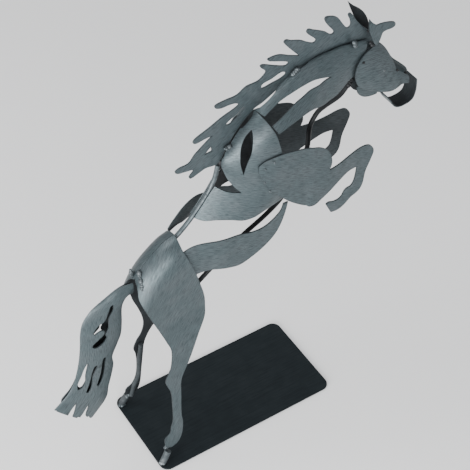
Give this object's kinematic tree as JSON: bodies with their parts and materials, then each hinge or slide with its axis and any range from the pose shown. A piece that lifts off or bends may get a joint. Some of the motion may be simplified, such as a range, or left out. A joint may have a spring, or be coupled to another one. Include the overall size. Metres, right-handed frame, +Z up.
{
  "type": "horse statue",
  "caption": "Rearing horse of bent steel sheet and round rod, with a flame-like cut mane and slotted tail, standing on its hind hooves on a flat rectangular plate.",
  "frame": {"origin": "centre of the base plate's underside", "axes": "+X along the plate toward the horse's front, +Y to the horse's left, +Z up"},
  "size_m": [0.3929, 0.104, 0.44],
  "materials": {
    "plate_steel": "black lacquer over brushed steel, with faint grey streaks",
    "sheet_steel": "blue-grey satin lacquer with dark dry-brush streaks and dark edges",
    "mane_steel": "blue-grey satin lacquer, darker, with specks",
    "rod_steel": "grey satin lacquer on round rod",
    "dark_rod_steel": "black satin lacquer on round rod",
    "hoof_steel": "black and grey lacquer over weld metal"
  },
  "bodies": {
    "root": {"base_plate": "plate_steel", "hoof_right": "hoof_steel", "hoof_left": "hoof_steel", "leg_rod_right": "rod_steel", "leg_rod_left": "rod_steel", "hind_leg_right": "sheet_steel", "hind_leg_left": "sheet_steel", "spine_rod": "rod_steel", "belly_rod": "dark_rod_steel", "torso_side_right": "sheet_steel", "torso_side_left": "sheet_steel", "flank_strip_right": "sheet_steel", "flank_strip_left": "sheet_steel", "foreleg_right": "sheet_steel", "foreleg_left": "sheet_steel", "neck": "sheet_steel", "mane": "mane_steel", "tail_right": "sheet_steel", "tail_left": "sheet_steel", "face_right": "sheet_steel", "face_left": "sheet_steel", "jaw_right": "sheet_steel", "jaw_left": "sheet_steel", "muzzle_band": "sheet_steel", "ear_right": "sheet_steel", "ear_left": "mane_steel"}
  },
  "joints": []
}
